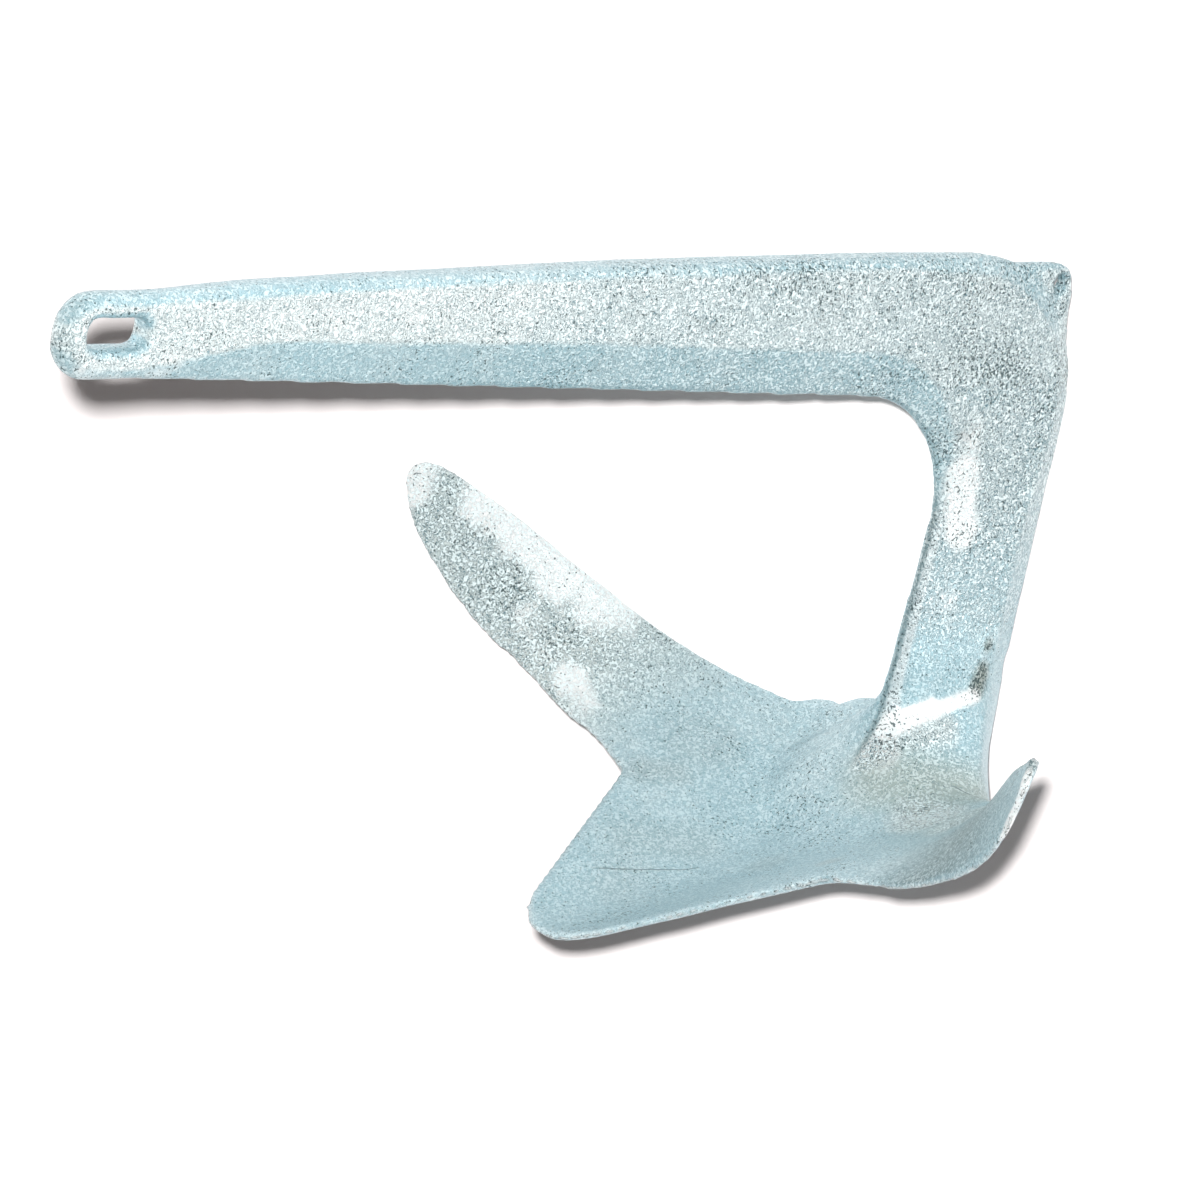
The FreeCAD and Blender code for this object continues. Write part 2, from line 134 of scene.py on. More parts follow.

# The worms and pits of the zinc's skin, and the heights at which its crests take painted glints
WORMS_PER_METRE = 760.0
PITS_PER_METRE = 880.0
PATCHES_PER_METRE = 45.0
FURROW_LEVEL, FURROW_WIDTH, FURROW_DEPTH = 0.47, 0.05, 0.25
PIT_LEVEL, PIT_LEVEL_BY_DENSITY, PIT_LEVEL_BY_PATCH = 0.93, -0.12, -0.38
PIT_EDGE, PIT_DEPTH = 0.03, 0.7
GLINT_BETWEEN = (0.42, 0.60)
RELIEF_DEPTH = 0.0017
METALLIC = 0.55

# The clouds and flecks of its colour, and the drift that the painted glare with its frost and the
# broken lines follow
CLOUDS_PER_METRE, FLECKS_PER_METRE, DRIFT_PER_METRE = 16.0, 240.0, 60.0
CLOUD_BETWEEN, CLOUD_SHARE, FLECK_SHARE = (0.42, 0.72), 0.26, 0.5
# painted glare with some frost: how the drift breaks it up, where it sets in, and its share
GLARE_BY_DRIFT, GLARE_BETWEEN, GLARE_SHARE = 1.3, (0.9, 1.45), 0.9
FRONT_EDGE_SHARE, PIT_SHARE, LINE_SHARE = 0.5, 0.85, 0.65

# How strongly one thing depends on another: the share it gains, and the share it has without it
DENSITY_BY_POCKS, DENSITY_BY_GATE = (0.8, 0.2), 1.8
GLINT_BY_TEXTURE = (0.9, 0.24)
FURROW_SHADE_BY_TEXTURE, FURROW_SHADE_BY_GLARE = (0.78, 0.36), (-0.75, 1.0)
RELIEF_BY_TEXTURE, RELIEF_BY_GLARE, RELIEF_BY_LIP = (0.7, 0.2), (-0.6, 1.0), 0.6
ROUGH_BY_PITS, ROUGH_BY_PATINA = (0.3, 0.3), 0.2

# Hairlines in the casting's own frame, in metres: middle, turn in degrees, half length, half width
HAIRLINES = (
    ((0.187, -0.011, -0.0385), (0, 11.6, 155), 0.030, 0.0005),
    ((0.056, 0.0085, 0.203), (90, 75, 0), 0.005, 0.0006),
    ((0.062, 0.047, 0.0065), (0, 10, 120), 0.010, 0.0005),
)
HAIRLINE_WANDER, HAIRLINE_WANDERS_PER_METRE = 0.0022, 160.0
HAIRLINE_DEPTH = 0.008
HAIRLINE_SIDE, HAIRLINE_END = (0.3, 1.0), (0.7, 1.0)
LIP_BEGINS, LIP_LINE = 0.4, (0.05, 0.3)

# The casting's skin: metres, passes of smoothing, and shares
SKIN_GRAIN = 0.00176
SAME_PLACE = 1e-6
FIRST_SOFTENING = 6
EDGE_ROUNDING = 0.6
EDGE_ROUNDING_BETWEEN = (0.00025, 0.0006)
SHARP_EDGE = 0.1 * SKIN_GRAIN
EDGE_TRUING = 8
EDGE_SOFTENING = 4
EDGE_SOFTENING_STRENGTH = 0.4
FOOT_FILLET_PASSES = 380
FAR_FILLET_PASSES = 24
ELBOW_FILLET_PASSES = 45
FILLET_STRENGTH = 0.8
FILLET_TURNS_PER_NORMALS = 20
THICKNESS_FROM = 0.0008
WAVINESS, WAVES_PER_METRE = 0.00022, 34
FINE_WAVES, FINE_WAVES_PER_METRE = 0.45, 110
RAGGED_EDGE, RAGGED_PER_METRE = 0.00008, 160
VALLEY_DEPTH = 0.0008
REAR_EDGE_LIFT = 0.0085

# How far out a soft mark keeps its full strength and where it ends, in shares of its reach
BLOB_FADES = (0.35, 1)
STREAK_FADES = (0.15, 1.15)

# From here to the marks: places in the casting's own frame, in millimetres. A pair is where
# something starts to change and where it has changed, a MIDDLE is a point along X and Z, and
# the land is the narrow flat front of the arm, given as how far forward it is at each height.
FOOT_TOP, FOOT_FRONT, FOOT_SIDES = (48, 72), (140, 175), (75, 110)
NEAR_HALF_OF_FOOT = (-8, 4)
ELBOW_BOTTOM, ELBOW_FRONT = (140, 170), (75, 95)
PLATE_FROM_X, PLATE_FROM_ACROSS, PLATE_BEYOND = 125, 45, (0, 12)
PALM_RISE = 0.35
CLAW_TOP, RIM_TOP = (55, 70), (90, 150)
LIP_DEPTH = (14, 22)
REAR_EDGE, REAR_EDGE_REACH, REAR_EDGE_FRONT = (50, -44, -2), (34, 30, 40), (62, 84)
LAND_HEIGHTS, LAND_FRONTS = (10, 20, 36, 42, 135), (91, 84, 78.3, 77.5, 72.3)
LAND_BACK, LAND_AHEAD = (3.0, 5.5), (1, 3)
LAND_BOTTOM, LAND_TOP, LAND_SIDE = (8, 20), (120, 150), (-2, 0)
FRONT_EDGE = (1.0, 2.2)
PALM_SIDES, PALM_REAR = (70, 124), (40, 80)
SHANK_BOTTOM, BLADE_REAR = (175, 190), (150, 420)
BEND_MIDDLE, BEND_REACH = (50, 205), (50, 170)
ARM_BOTTOM = (60, 80)
NOSE_REAR, NOSE_TIP = (500, 560), (560, 590)
RING_MIDDLE, RING_REACH, RING_REAR = (553, 214.7), (12, 19), (520, 550)
NEAR_SIDE = (-1, 3)
FAR_PALM_SIDE = -4
# the band down the foot's fillet that takes painted sheen and more texture
FILLET_SHEEN_BAND = ((88, 5, 15), (57, 18, 29), 11)
# a painted gleam down the foot's fillet
UNDER_GLEAM = ((82, 7, 28), (60, 12, 35), 8)

# How far the skin faces up the arm, for the sides painted paler as sheen and the near palm's faces
# painted darker as shade, and how sharply a rim rounds over in grains of the skin
FLANK_FROM, FLANK_TO = (-0.22, -0.08), (0.12, 0.36)
SHADED_FACES = (0.1, 0.5)
RIM_ROUNDING = (0.04, 0.16)

# Marks that run along a line: share, start, end, reach
STREAKS = {
    "valley": (
        (1, (71, 5, 241), (51, 7, 231), 9),
        (1, (51, 7, 231), (29, 6, 215), 9),
    ),
    "cast_edge": (
        (1, (203, 192, 90), (206, 194, 78), 5),
        (1, (206, 194, 78), (197, 183, 50), 5),
    ),
    "pocked": (
        (1.1, (188, -171, 57), (176, -152, 42), 26),
    ),
    # painted glare bands on the far palm, the foot's fillet, the arm's front and the shank, with
    # some frosty zinc
    "glare_and_frost": (
        (1, (170, -165, 78), (134, -123, 48), 28),
        (0.95, (159, -112, 11), (154, -92, -3), 15),
        (0.5, (168, -140, 32), (162, -126, 20), 14),
        (0.8, (60, 12, 35), (34, 13, 42), 6),
        (1, (66, 5, 145), (58, 5, 118), 15),
        (0.4, (60, 5, 100), (54, 5, 76), 14),
        (0.36, (490, 8, 216), (400, 8, 224), 17),
        (0.22, (400, 8, 228), (250, 8, 232), 16),
        (0.5, (560, 8, 200), (520, 8, 202), 12),
    ),
    "patina": (
        (1, (88, 20, 9), (60, 46, 8), 26),
    ),
    "smudge": (
        (0.8, (157, -59, -11), (141, -53, -11), 12),
        (0.6, (186, -30, -31), (158, -16, -30), 17),
        (0.4, (212, -8, -42), (176, -30, -28), 18),
    ),
    "gate": (
        (1, (29, 9.5, 51), (33, 11, 44), 6.5),
    ),
}

# Marks round a point: share, middle, reach along each axis
SPOTS = {
    "low_rough": (
        (1, (92, 54, 5), (26, 26, 22)),
        (0.7, (104, 80, 17), (22, 22, 22)),
    ),
    "pocked": (
        (0.9, (200, 6, 236), (230, 14, 14)),
        (0.7, (104, -10, 0), (26, 34, 20)),
        (0.5, (124, -20, -20), (30, 30, 20)),
    ),
    # painted glare spots on the far palm and the arm's front
    "glare_and_frost": (
        (1, (152, -137, 54), (22, 22, 22)),
        (0.9, (206, -193, 81), (20, 20, 22)),
        (0.5, (66, 6, 158), (16, 12, 24)),
    ),
    "patina": (
        (0.5, (100, 80, 15), (30, 30, 30)),
    ),
    "smudge": (
        (0.55, (122, -62, -2), (30, 26, 22)),
        (0.5, (151, 20, -27), (16, 12, 14)),
        (0.8, (147, 51, -13), (9, 6, 10)),
    ),
    "gate": (
        (0.6, (27, 8, 64), (4, 6, 5)),
    ),
}


# Places and marks


def own_frame(points):
    """Points of the scene in the casting's own frame, in millimetres."""
    return (points - np.array(LIES_AT)) @ np.array(LIES_TURNED) * 1000


def ramp(values, low, high):
    share = np.clip((values - low) / (high - low), 0, 1)
    return share * share * (3 - 2 * share)


def past(values, span):
    """0 before the span, 1 past it."""
    return ramp(values, *span)


def short_of(values, span):
    """1 before the span, 0 past it."""
    return 1 - ramp(values, *span)


def blob(points, centre, reach):
    """A soft round spot: 1 at its centre, fading out at its reach along each axis."""
    apart = np.sqrt((((points - np.array(centre)) / np.array(reach)) ** 2).sum(1))
    return short_of(apart, BLOB_FADES)


def streak(points, start, end, reach):
    """A soft band from start to end: 1 along its middle, fading out just past its reach."""
    start, along = np.array(start, float), np.array(end, float) - np.array(start, float)
    share = np.clip((points - start) @ along / (along @ along), 0, 1)
    apart = np.linalg.norm(points - start - share[:, None] * along, axis=1)
    return short_of(apart, [fade * reach for fade in STREAK_FADES])


def marked(points, name):
    """The strongest of a mark's streaks and spots at each point."""
    streaks = [share * streak(points, *place) for share, *place in STREAKS.get(name, ())]
    spots = [share * blob(points, *place) for share, *place in SPOTS.get(name, ())]
    return np.maximum.reduce(streaks + spots)


def give(mesh, name, values):
    layer = mesh.attributes.new(name, "FLOAT", "POINT")
    layer.data.foreach_set("value", np.clip(values, 0, 1).astype(np.float32))


# Skin


def mesh_points(mesh):
    points = np.empty(len(mesh.vertices) * 3)
    mesh.vertices.foreach_get("co", points)
    return points.reshape(-1, 3)


def mesh_edges(mesh):
    edges = np.empty(len(mesh.edges) * 2, dtype=np.int64)
    mesh.edges.foreach_get("vertices", edges)
    return edges.reshape(-1, 2)


def mesh_normals(mesh):
    normals = np.empty(len(mesh.vertices) * 3)
    mesh.vertex_normals.foreach_get("vector", normals)
    return normals.reshape(-1, 3)


def put_points(mesh, points):
    mesh.vertices.foreach_set("co", points.ravel())
    mesh.update()


def neighbour_means(points, edges):
    count = len(points)
    degree = np.bincount(edges.ravel(), minlength=count)
    means = np.empty_like(points)
    for axis in range(points.shape[1]):
        total = np.bincount(edges[:, 0], weights=points[edges[:, 1], axis], minlength=count)
        total += np.bincount(edges[:, 1], weights=points[edges[:, 0], axis], minlength=count)
        means[:, axis] = total / np.maximum(degree, 1)
    return means


def edges_among(edges, chosen, count):
    """The edges that join two of the chosen points, by their places among the chosen."""
    place = np.full(count, -1)
    place[chosen] = np.arange(len(chosen))
    edges = place[edges]
    return edges[(edges >= 0).all(1)]


def softened(mesh, passes, strength=0.5):
    points, edges = mesh_points(mesh), mesh_edges(mesh)
    for _ in range(passes):
        points += strength * (neighbour_means(points, edges) - points)
    put_points(mesh, points)


def drawn_back(mesh, surface):
    """Puts the softened skin back on the CAD solid's faces, and leaves its edges rounded over."""
    points = mesh_points(mesh)
    faces = np.array([surface.find_nearest(Vector(point))[0] for point in points])
    off = np.linalg.norm(faces - points, axis=1)[:, None]
    points += (1 - EDGE_ROUNDING * past(off, EDGE_ROUNDING_BETWEEN)) * (faces - points)
    put_points(mesh, points)


def trued(mesh, passes):
    """Runs sharp edges straight: each point moves halfway to between its neighbours on the edge."""
    points, edges = mesh_points(mesh), mesh_edges(mesh)
    away = ((points - neighbour_means(points, edges)) * mesh_normals(mesh)).sum(1)
    sharp = np.flatnonzero(away > SHARP_EDGE)
    edges = edges_among(edges, sharp, len(points))
    chained = (np.bincount(edges.ravel(), minlength=len(sharp)) > 1)[:, None]
    part = points[sharp]
    for _ in range(passes):
        part = part + np.where(chained, 0.5 * (neighbour_means(part, edges) - part), 0)
    points[sharp] = part
    put_points(mesh, points)


def filleted(mesh, weights, passes):
    """Fills inside corners with a smooth fillet and leaves outside corners as they are."""
    points = mesh_points(mesh)
    inside = np.flatnonzero(weights > 0)
    edges = edges_among(mesh_edges(mesh), inside, len(points))
    part = points[inside]
    pull = weights[inside][:, None]
    for turn in range(passes):
        if turn % FILLET_TURNS_PER_NORMALS == 0:
            points[inside] = part
            put_points(mesh, points)
            normals = mesh_normals(mesh)[inside]
        toward = neighbour_means(part, edges) - part
        outward = (toward * normals).sum(1, keepdims=True)
        part = part + pull * np.where(outward > 0, FILLET_STRENGTH * toward, 0)
    points[inside] = part
    put_points(mesh, points)


def through_thickness(mesh, surface):
    """How far the metal reaches straight in behind each point of the skin, in millimetres."""
    depths = np.zeros(len(mesh.vertices))
    for index, vertex in enumerate(mesh.vertices):
        start = vertex.co - vertex.normal * THICKNESS_FROM
        hit = surface.ray_cast(start, -vertex.normal)
        depths[index] = 1000 * hit[3] if hit[0] else 0
    return depths


def noise_at(points, per_metre, seed):
    shift = Vector((seed, seed * 1.7, -seed))
    return np.array([noise.noise(Vector(point) * per_metre + shift) for point in points])


def remeshed(cad):
    """The CAD solid as an object with a fine even skin, and its surface to measure against."""
    mesh = cad.data.copy()
    mesh.materials.clear()
    shell = bmesh.new()
    shell.from_mesh(mesh)
    bmesh.ops.remove_doubles(shell, verts=shell.verts, dist=SAME_PLACE)
    shell.to_mesh(mesh)
    surface = BVHTree.FromBMesh(shell)
    shell.free()
    anchor = bpy.data.objects.new("anchor_casting", mesh)
    bpy.context.collection.objects.link(anchor)
    remesh = anchor.modifiers.new("grain", "REMESH")
    remesh.mode = "VOXEL"
    remesh.voxel_size = SKIN_GRAIN
    evaluated = anchor.evaluated_get(bpy.context.evaluated_depsgraph_get())
    skin = bpy.data.meshes.new_from_object(evaluated)
    anchor.modifiers.clear()
    anchor.data = skin
    return anchor, surface


def cast_skin(cad):
    """The CAD solid as a sand casting: fine skin, filleted foot, ragged lips, slight waves."""
    anchor, surface = remeshed(cad)
    skin = anchor.data
    softened(skin, FIRST_SOFTENING)
    drawn_back(skin, surface)
    trued(skin, EDGE_TRUING)
    softened(skin, EDGE_SOFTENING, EDGE_SOFTENING_STRENGTH)
    own = own_frame(mesh_points(skin))
    x, y, z = own.T
    across = np.abs(y)
    foot = short_of(z, FOOT_TOP) * short_of(x, FOOT_FRONT) * short_of(across, FOOT_SIDES)
    filleted(skin, foot * past(y, NEAR_HALF_OF_FOOT), FOOT_FILLET_PASSES)
    filleted(skin, foot, FAR_FILLET_PASSES)
    filleted(skin, past(z, ELBOW_BOTTOM) * short_of(x, ELBOW_FRONT), ELBOW_FILLET_PASSES)

    deep = through_thickness(skin, surface)
    plate = past(np.maximum(x - PLATE_FROM_X, across - PLATE_FROM_ACROSS), PLATE_BEYOND)
    in_claw = short_of(z - PALM_RISE * across, CLAW_TOP)
    lip = past(deep, LIP_DEPTH) * plate * in_claw
    valley = marked(own, "valley")
    rear_edge = blob(own, REAR_EDGE, REAR_EDGE_REACH) * short_of(x, REAR_EDGE_FRONT)
    points, normals = mesh_points(skin), mesh_normals(skin)
    waves = noise_at(points, WAVES_PER_METRE, seed=3.1)
    waves = waves + FINE_WAVES * noise_at(points, FINE_WAVES_PER_METRE, seed=8.3)
    ragged = noise_at(points, RAGGED_PER_METRE, seed=5.7)
    points += normals * (WAVINESS * waves + RAGGED_EDGE * lip * ragged)[:, None]
    points -= normals * (VALLEY_DEPTH * valley)[:, None]
    points += rear_edge[:, None] * REAR_EDGE_LIFT * LIES_UP_THE_ARM
    put_points(skin, np.clip(points, np.array(CAD_BOX[0]), np.array(CAD_BOX[1])))
    skin.shade_smooth()

    edges = mesh_edges(skin)
    rounding = ((points - neighbour_means(points, edges)) * normals).sum(1, keepdims=True)
    rounding = neighbour_means(rounding, edges)[:, 0] / SKIN_GRAIN
    give(skin, "lip", lip)
    give(skin, "valley", valley)
    # Convex edges painted brighter: partly edge wear, partly painted highlight
    give(skin, "rim_wear_and_highlight", past(rounding, RIM_ROUNDING) * short_of(z - PALM_RISE * across, RIM_TOP))
    weathered(skin, own, (normals @ np.array(LIES_TURNED))[:, 2], in_claw, lip)
    return anchor


def weathered(skin, own, up_the_arm, in_claw, lip):
    """Where the zinc set wormy or pocked and where it is marked, and where light and shade are
    painted on: paler silver sheen, whiter glare with some frost, and shade on the near palm.
    """
    x, y, z = own.T
    across = np.abs(y)
    ahead = np.interp(z, LAND_HEIGHTS, LAND_FRONTS) - x
    land = short_of(ahead, LAND_BACK) * past(z, LAND_BOTTOM) * short_of(z, LAND_TOP)
    land *= short_of(-ahead, LAND_AHEAD) * past(y, LAND_SIDE)
    front_edge = short_of(across, FRONT_EDGE)

    near_side = past(y, NEAR_SIDE)
    palm = past(across, PALM_SIDES) * past(x, PALM_REAR)
    far_palm = palm * (y < 0)
    flank = past(up_the_arm, FLANK_FROM) * short_of(up_the_arm, FLANK_TO)
    shank = past(z, SHANK_BOTTOM)
    blade = past(x, BLADE_REAR) * shank
    bend = short_of(np.hypot(x - BEND_MIDDLE[0], z - BEND_MIDDLE[1]), BEND_REACH)
    nose = past(x, NOSE_REAR) * flank
    from_spine = np.hypot(np.maximum(x - RING_MIDDLE[0], 0), z - RING_MIDDLE[1])
    ring = past(from_spine, RING_REACH) * past(x, RING_REAR)
    cast_edge = marked(own, "cast_edge")
    fillet_sheen_band = streak(own, *FILLET_SHEEN_BAND) * near_side
    low_rough = marked(own, "low_rough")

    # Painted sheen: paler zinc on the sides of the shank, arm and eye and on the far palm, which
    # face the light, and down the foot's fillet; silvery zinc in the rough patch
    give(skin, "silver_and_sheen", np.maximum.reduce([
        0.8 * far_palm, blade * flank, 0.35 * bend * flank, 0.6 * shank * flank, nose,
        0.8 * fillet_sheen_band, low_rough]))
    give(skin, "texture", np.maximum.reduce([
        np.full(len(own), 0.12), 0.7 * far_palm, 0.35 * palm, bend * flank, 0.85 * shank * flank,
        0.45 * past(z, ARM_BOTTOM), fillet_sheen_band, 1.2 * low_rough]) - 0.3 * blade)
    give(skin, "pocked", np.maximum.reduce([
        marked(own, "pocked"), 0.4 * (1 - in_claw), 0.25 * in_claw, 0.5 * past(x, NOSE_TIP),
        ring, bend, 0.3 * far_palm, 0.7 * low_rough, lip, 0.9 * land, 1.3 * cast_edge]))
    # Painted glare: whiter patches where light glances off the far palm, the fillet, the arm and
    # the shank, with some frosty zinc and the cast edge
    give(skin, "glare_and_frost", np.maximum.reduce([
        marked(own, "glare_and_frost"), 0.9 * cast_edge, streak(own, *UNDER_GLEAM) * near_side])
        * np.where(y < FAR_PALM_SIDE, palm, 1))
    # Painted shade: the near palm's faces that turn up the arm, away from the light, are darkened
    give(skin, "near_palm_shade", palm * (y > 0) * past(up_the_arm, SHADED_FACES))
    give(skin, "patina", np.maximum(marked(own, "patina"), 0.35 * far_palm))
    give(skin, "smudge", np.maximum(marked(own, "smudge"), 0.75 * ring))
    give(skin, "gate", marked(own, "gate"))
    give(skin, "land", land * (1 - front_edge))
    give(skin, "front_edge", land * front_edge)


# Zinc


def socketed(name, inputs, outputs):
    """A shader node group with its named sockets."""
    group = bpy.data.node_groups.new(name, "ShaderNodeTree")
    for label, kind, default in inputs:
        socket = group.interface.new_socket(
            name=label, in_out="INPUT", socket_type="NodeSocket" + kind)
        if default is not None:
            socket.default_value = default
    for label, kind in outputs:
        group.interface.new_socket(
            name=label, in_out="OUTPUT", socket_type="NodeSocket" + kind)
    return group, group.nodes.new("NodeGroupInput"), group.nodes.new("NodeGroupOutput")


def wired(tree, made, values):
    """Sets a node's inputs, with a link where a value is a socket."""
    for name, given in values.items():
        if isinstance(given, bpy.types.NodeSocket):
            tree.links.new(given, made.inputs[name])
        else:
            made.inputs[name].default_value = given
    return made


def placed(tree, kind, values, **settings):
    """A node with its settings and its input values."""
    made = tree.nodes.new("ShaderNode" + kind)
    for name, setting in settings.items():
        setattr(made, name, setting)
    return wired(tree, made, values)


def grouped(tree, group, values):
    """A group's node with its input values."""
    made = tree.nodes.new("ShaderNodeGroup")
    made.node_tree = group
    return wired(tree, made, values)


def worked_out(tree, operation, first, second=0.0, third=0.0):
    values = {0: first, 1: second, 2: third}
    return placed(tree, "Math", values, operation=operation).outputs[0]


def times(tree, first, second):
    return worked_out(tree, "MULTIPLY", first, second)


def scaled(tree, value, by, plus):
    return worked_out(tree, "MULTIPLY_ADD", value, by, plus)


def rest_of(tree, share):
    return worked_out(tree, "SUBTRACT", 1.0, share)


def smooth_step(tree, value, low, high):
    values = {"Value": value, "From Min": low, "From Max": high}
    made = placed(tree, "MapRange", values, interpolation_type="SMOOTHSTEP")
    return made.outputs["Result"]


def mixed(tree, share, first, second):
    values = {"Factor": share, "A": first, "B": second}
    return placed(tree, "Mix", values, data_type="RGBA").outputs["Result"]


def clouded(tree, vector, per_metre, detail, roughness=0.5, distortion=0.0):
    values = {"Vector": vector, "Scale": per_metre, "Detail": detail,
              "Roughness": roughness, "Distortion": distortion}
    return placed(tree, "TexNoise", values).outputs[0]


def orange_peel():
    """The wormy skin that thick zinc sets with: its height, its furrows and its pits."""
    group, given, out = socketed(
        "orange_peel",
        [("Vector", "Vector", None), ("Worms per Metre", "Float", WORMS_PER_METRE),
         ("Pits per Metre", "Float", PITS_PER_METRE), ("Density", "Float", None)],
        [("Height", "Float"), ("Furrows", "Float"), ("Pits", "Float")])
    vector = given.outputs["Vector"]
    grain = clouded(group, vector, given.outputs["Worms per Metre"], 1.5, distortion=0.9)
    holes = clouded(group, vector, given.outputs["Pits per Metre"], 1.0)
    patches = clouded(group, vector, PATCHES_PER_METRE, 4.0)
    off = worked_out(group, "ABSOLUTE", worked_out(group, "SUBTRACT", grain, FURROW_LEVEL))
    furrows = rest_of(group, smooth_step(group, off, 0.0, FURROW_WIDTH))
    level = scaled(group, given.outputs["Density"], PIT_LEVEL_BY_DENSITY, PIT_LEVEL)
    level = scaled(group, patches, PIT_LEVEL_BY_PATCH, level)
    pits = smooth_step(group, worked_out(group, "SUBTRACT", holes, level), 0.0, PIT_EDGE)
    height = scaled(group, furrows, -FURROW_DEPTH, grain)
    height = scaled(group, pits, -PIT_DEPTH, height)
    wired(group, out, {"Height": height, "Furrows": furrows, "Pits": pits})
    return group


def zinc_bloom():
    """The zinc's colour: blue where it is plain, paler in clouds, and paler with painted sheen
    where it is marked silver.
    """
    group, given, out = socketed(
        "zinc_bloom",
        [("Vector", "Vector", None), ("Silver and Sheen", "Float", None), ("Plain", "Color", BLUE_ZINC),
         ("Pale", "Color", PALE_ZINC_AND_SHEEN)],
        [("Color", "Color")])
    vector = given.outputs["Vector"]
    clouds = clouded(group, vector, CLOUDS_PER_METRE, 4.0, roughness=0.55)
    flecks = clouded(group, vector, FLECKS_PER_METRE, 3.0, roughness=0.7)
    clouds = smooth_step(group, clouds, *CLOUD_BETWEEN)
    flecks = worked_out(group, "SUBTRACT", flecks, 0.5)
    share = scaled(group, clouds, CLOUD_SHARE, given.outputs["Silver and Sheen"])
    share = scaled(group, flecks, FLECK_SHARE, share)
    share = placed(group, "Clamp", {"Value": share}).outputs[0]
    colour = mixed(group, share, given.outputs["Plain"], given.outputs["Pale"])
    wired(group, out, {"Color": colour})
    return group


def hairline():
    """A hairline along its own X: a scratch or a crack of a given length and width."""
    group, given, out = socketed(
        "hairline",
        [("Vector", "Vector", None), ("Half Length", "Float", None),
         ("Half Width", "Float", None)],
        [("Mask", "Float")])
    vector = given.outputs["Vector"]
    along, off, deep = placed(group, "SeparateXYZ", {0: vector}).outputs
    wander = clouded(group, vector, HAIRLINE_WANDERS_PER_METRE, 2.0)
    wander = scaled(group, wander, HAIRLINE_WANDER, -HAIRLINE_WANDER / 2)
    off = worked_out(group, "ABSOLUTE", worked_out(group, "ADD", off, wander))
    off = worked_out(group, "DIVIDE", off, given.outputs["Half Width"])
    along = worked_out(group, "ABSOLUTE", along)
    along = worked_out(group, "DIVIDE", along, given.outputs["Half Length"])
    near = worked_out(group, "LESS_THAN", worked_out(group, "ABSOLUTE", deep), HAIRLINE_DEPTH)
    mask = times(group, rest_of(group, smooth_step(group, off, *HAIRLINE_SIDE)),
                 rest_of(group, smooth_step(group, along, *HAIRLINE_END)))
    wired(group, out, {"Mask": times(group, mask, near)})
    return group


def dark_lines(tree, own, lip, drift):
    """The hairlines, and a broken line where a lip begins."""
    lines = 0.0
    line = hairline()
    for middle, turn, half_length, half_width in HAIRLINES:
        values = {"Vector": own, "Location": middle,
                  "Rotation": [math.radians(angle) for angle in turn]}
        laid = placed(tree, "Mapping", values, vector_type="TEXTURE").outputs[0]
        mask = grouped(tree, line, {
            "Vector": laid, "Half Length": half_length, "Half Width": half_width})
        lines = worked_out(tree, "MAXIMUM", mask.outputs["Mask"], lines)
    border = worked_out(tree, "ABSOLUTE", worked_out(tree, "SUBTRACT", lip, LIP_BEGINS))
    border = rest_of(tree, smooth_step(tree, border, *LIP_LINE))
    return worked_out(tree, "MAXIMUM", lines, times(tree, border, drift))


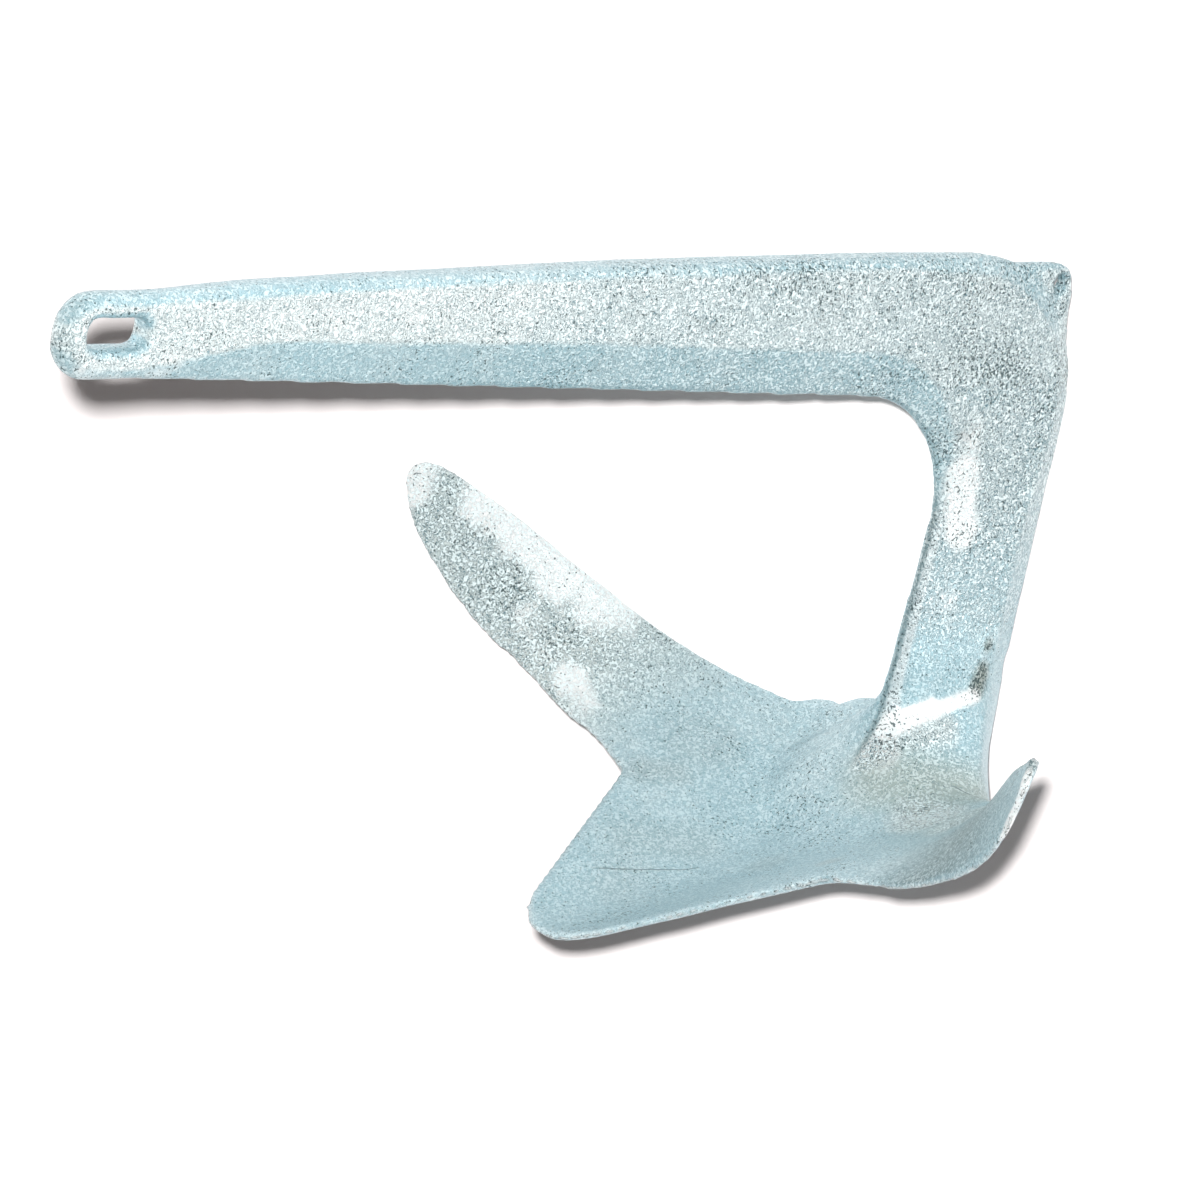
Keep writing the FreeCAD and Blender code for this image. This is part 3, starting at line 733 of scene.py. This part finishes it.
def galvanised():
    material = bpy.data.materials.new("galvanised_casting")
    material.use_nodes = True
    tree = material.node_tree
    tree.nodes.clear()
    out = tree.nodes.new("ShaderNodeOutputMaterial")
    where = tree.nodes.new("ShaderNodeTexCoord").outputs["Object"]
    values = {"Vector": where, "Location": LIES_AT, "Rotation": LIES_TURNED.to_euler("XYZ")}
    own = placed(tree, "Mapping", values, vector_type="TEXTURE").outputs[0]

    def worn(name):
        return placed(tree, "Attribute", {}, attribute_name=name).outputs["Fac"]

    texture, lip, gate = worn("texture"), worn("lip"), worn("gate")
    density = scaled(tree, worn("pocked"), *DENSITY_BY_POCKS)
    density = scaled(tree, gate, DENSITY_BY_GATE, density)
    peel = grouped(tree, orange_peel(), {"Vector": own, "Density": density})
    bloom = grouped(tree, zinc_bloom(), {"Vector": own, "Silver and Sheen": worn("silver_and_sheen")})
    colour = bloom.outputs["Color"]
    for mark, share, zinc in TINTS:
        colour = mixed(tree, times(tree, worn(mark), share), colour, zinc)
    drift = clouded(tree, own, DRIFT_PER_METRE, 5.0, roughness=0.6)
    # Painted glare with some frost, broken up by the drift, whitens the zinc
    glare_and_frost = scaled(tree, drift, GLARE_BY_DRIFT, worn("glare_and_frost"))
    glare_and_frost = smooth_step(tree, glare_and_frost, *GLARE_BETWEEN)
    colour = mixed(tree, times(tree, glare_and_frost, GLARE_SHARE), colour, BRIGHT_ZINC_AND_GLARE)
    # Painted glints: the crests of the wormy skin are painted paler, more where it is textured
    crest_glint = smooth_step(tree, peel.outputs["Height"], *GLINT_BETWEEN)
    crest_glint = times(tree, crest_glint, scaled(tree, texture, *GLINT_BY_TEXTURE))
    colour = mixed(tree, crest_glint, colour, CREST_GLINT_ZINC)
    # Painted shade: the furrows of the wormy skin are painted darker, less under the glare
    furrow_shade = times(tree, scaled(tree, texture, *FURROW_SHADE_BY_TEXTURE),
                     scaled(tree, glare_and_frost, *FURROW_SHADE_BY_GLARE))
    furrow_shade = times(tree, peel.outputs["Furrows"], furrow_shade)
    colour = mixed(tree, furrow_shade, colour, FURROW_SHADE_BLUE)
    colour = mixed(tree, times(tree, worn("front_edge"), FRONT_EDGE_SHARE), colour, DARK_PIT)
    # Dark pits: pores in the zinc, darkened partly as painted shade in them
    pits = times(tree, peel.outputs["Pits"], PIT_SHARE)
    lines = times(tree, dark_lines(tree, own, lip, drift), LINE_SHARE)
    colour = mixed(tree, worked_out(tree, "MAXIMUM", pits, lines), colour, DARK_PIT)

    rough = scaled(tree, peel.outputs["Pits"], *ROUGH_BY_PITS)
    rough = scaled(tree, worn("patina"), ROUGH_BY_PATINA, rough)
    relief = times(tree, scaled(tree, texture, *RELIEF_BY_TEXTURE),
                   scaled(tree, glare_and_frost, *RELIEF_BY_GLARE))
    ragged = worked_out(tree, "MAXIMUM", times(tree, lip, RELIEF_BY_LIP), gate)
    height = times(tree, peel.outputs["Height"], worked_out(tree, "ADD", relief, ragged))
    bump = placed(tree, "Bump", {"Strength": 1.0, "Distance": RELIEF_DEPTH, "Height": height})
    shader = placed(tree, "BsdfPrincipled", {
        "Base Color": colour, "Metallic": METALLIC, "Roughness": rough,
        "Normal": bump.outputs[0]})
    tree.links.new(shader.outputs[0], out.inputs[0])
    return material


# Studio


def seen_or_mirrored(tree):
    """1 where the camera or a mirror image looks, 0 for the light that falls on things."""
    seen = tree.nodes.new("ShaderNodeLightPath")
    return worked_out(
        tree, "MAXIMUM", seen.outputs["Is Camera Ray"], seen.outputs["Is Glossy Ray"])


def pale_floor():
    """White paper that keeps the anchor's shadow: the camera sees it lighter than it is."""
    material = bpy.data.materials.new("pale_floor")
    material.use_nodes = True
    tree = material.node_tree
    tree.nodes.clear()
    out = tree.nodes.new("ShaderNodeOutputMaterial")
    shown = seen_or_mirrored(tree)
    paper = placed(tree, "BsdfDiffuse", {"Color": mixed(tree, shown, PAPER, PAPER_SEEN)})
    where = tree.nodes.new("ShaderNodeTexCoord").outputs["Object"]
    away = placed(tree, "VectorMath", {0: where}, operation="LENGTH").outputs["Value"]
    far = smooth_step(tree, away, *PLAIN_WHITE_BETWEEN)
    glow = times(tree, shown, scaled(tree, far, 1.0 - SHADOW_LIFT, SHADOW_LIFT))
    lift = placed(tree, "Emission", {
        "Color": mixed(tree, far, SHADOW_TINT, WHITE), "Strength": glow})
    both = placed(tree, "AddShader", {0: paper.outputs[0], 1: lift.outputs[0]})
    tree.links.new(both.outputs[0], out.inputs[0])
    mesh = bpy.data.meshes.new("floor")
    size = FLOOR_HALF_SIZE
    corners = [(-size, -size, 0), (size, -size, 0), (size, size, 0), (-size, size, 0)]
    mesh.from_pydata(corners, [], [(0, 1, 2, 3)])
    mesh.materials.append(material)
    floor = bpy.data.objects.new("floor", mesh)
    bpy.context.collection.objects.link(floor)


def key_lamp():
    """The lamp beside the camera: it lights a face that looks at it at the key's level."""
    lamp = bpy.data.lights.new("key_beside_camera", "AREA")
    lamp.size = KEY_SIZE
    key = bpy.data.objects.new("key_beside_camera", lamp)
    turned = Euler(CAMERA_TURNED, "XYZ").to_matrix()
    key.location = CAMERA_AT + turned @ Vector(KEY_BESIDE_CAMERA)
    toward = LAMPS_AIM_AT - key.location
    key.rotation_euler = toward.to_track_quat("-Z", "Y").to_euler()
    lamp.energy = KEY_LEVEL * math.pi ** 2 * toward.length_squared
    key.visible_glossy = False
    bpy.context.collection.objects.link(key)


def soft_box(name, azimuth, elevation, distance, width, height, radiance, lit):
    """A soft box aimed at the anchor, as bright as its radiance says, that lights only the lit."""
    lamp = bpy.data.lights.new(name, "AREA")
    lamp.shape = "RECTANGLE"
    lamp.size = width
    lamp.size_y = height
    lamp.energy = radiance * math.pi * width * height
    box = bpy.data.objects.new(name, lamp)
    around, up = math.radians(azimuth), math.radians(elevation)
    level = math.cos(up)
    away = Vector((math.cos(around) * level, math.sin(around) * level, math.sin(up)))
    box.location = LAMPS_AIM_AT + away * distance
    box.rotation_euler = (-away).to_track_quat("-Z", "Y").to_euler()
    bpy.context.collection.objects.link(box)
    box.light_linking.receiver_collection = lit


def camera():
    data = bpy.data.cameras.new("camera")
    data.lens = CAMERA_LENS
    data.sensor_width = CAMERA_SENSOR
    data.shift_x, data.shift_y = CAMERA_SHIFT
    data.clip_end = CAMERA_SEES_TO
    holder = bpy.data.objects.new("camera", data)
    holder.location = CAMERA_AT
    holder.rotation_euler = Euler(CAMERA_TURNED, "XYZ")
    bpy.context.collection.objects.link(holder)
    bpy.context.scene.camera = holder


def studio(lit):
    world = bpy.data.worlds.new("studio")
    bpy.context.scene.world = world
    world.use_nodes = True
    tree = world.node_tree
    sky = tree.nodes["Background"]
    shown = seen_or_mirrored(tree)
    wired(tree, sky, {
        "Color": WHITE, "Strength": scaled(tree, shown, 1.0 - SKY_LIGHT, SKY_LIGHT)})
    key_lamp()
    for box in SOFT_BOXES:
        soft_box(*box, lit)


bpy.context.scene.view_settings.view_transform = "Standard"
camera()
pale_floor()
anchor = cast_skin(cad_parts["anchor"])
anchor.data.materials.append(galvanised())
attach(anchor, "root")
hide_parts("anchor")
lit_pieces = bpy.data.collections.new("lit_pieces")
lit_pieces.objects.link(anchor)
studio(lit_pieces)
